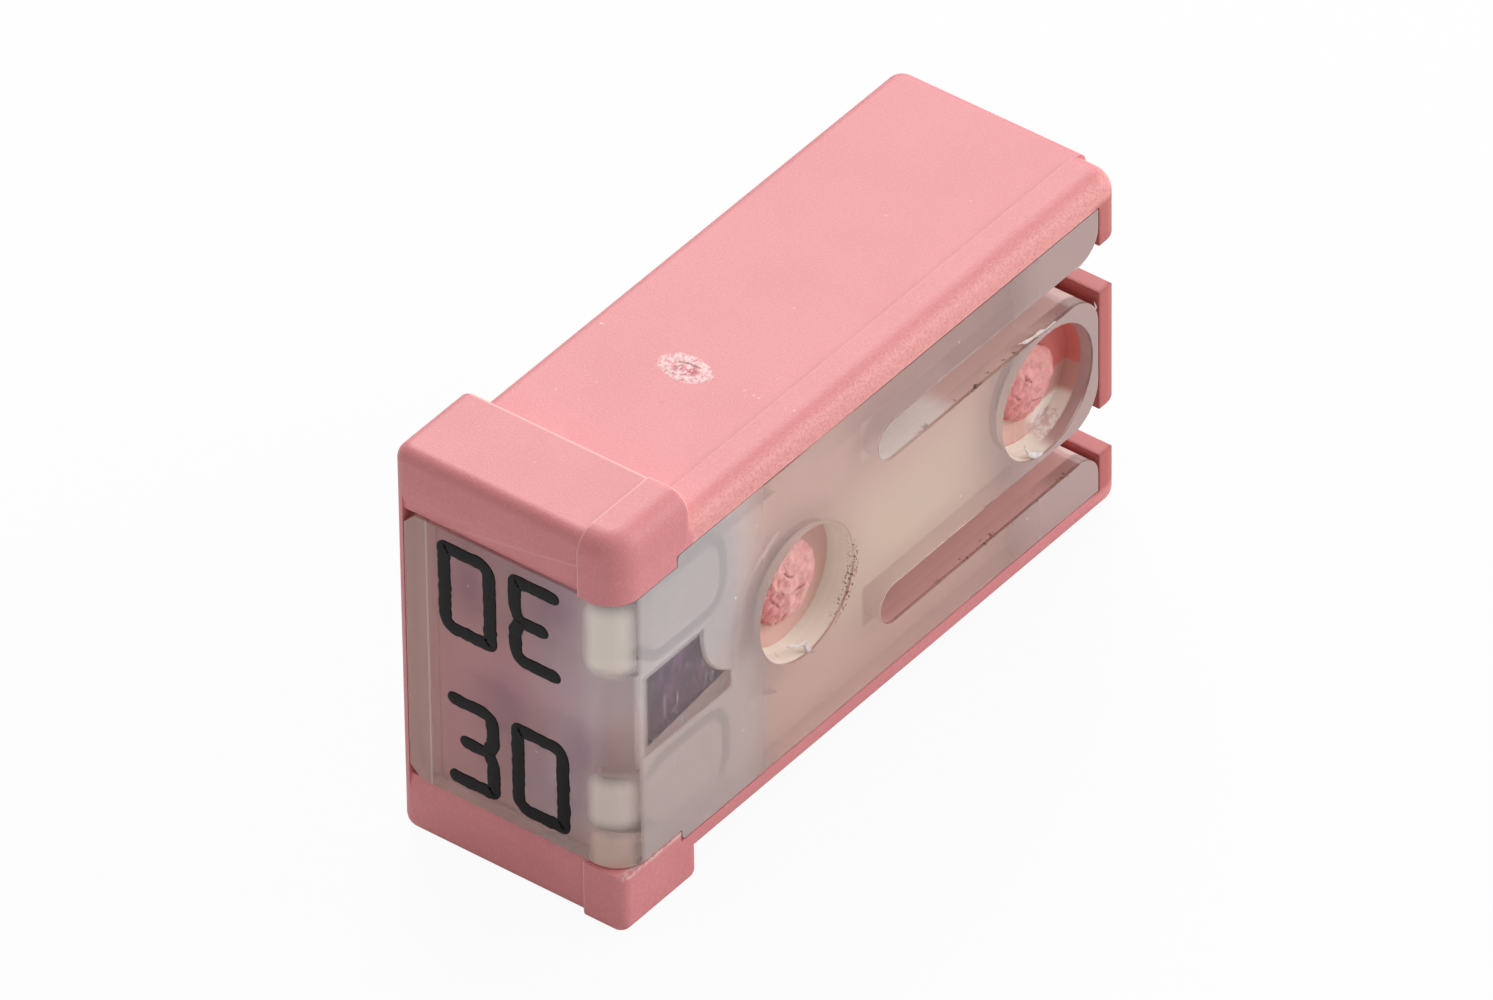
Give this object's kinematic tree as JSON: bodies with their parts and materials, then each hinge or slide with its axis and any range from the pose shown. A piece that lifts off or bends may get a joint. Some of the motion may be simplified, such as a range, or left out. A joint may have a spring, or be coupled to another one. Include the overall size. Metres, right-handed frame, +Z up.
{
  "type": "mini cartridge fuse",
  "caption": "Small cartridge fuse: coloured tub housing with a collar, clear cover staked on over a stamped element, and slots for flat blade tabs.",
  "frame": {"origin": "under the middle of the bounding box, on the plane that the lowest edge of the collar stands on", "axes": "+X from the print end to the terminal end, +Y from the clear front to the coloured back, +Z up with the narrow sides at top and bottom"},
  "size_m": [0.0208, 0.0072, 0.0123],
  "materials": {
    "housing_plastic": "fine moulded satin, pink",
    "clear_plastic": "milky clear, lightly scuffed",
    "element_metal": "stamped copper alloy, tarnished to a dark violet grey",
    "tin": "dull tin"
  },
  "bodies": {
    "root": {"housing": "housing_plastic", "cover": "clear_plastic", "fuse_element": "element_metal", "tin_drop": "tin"}
  },
  "joints": []
}
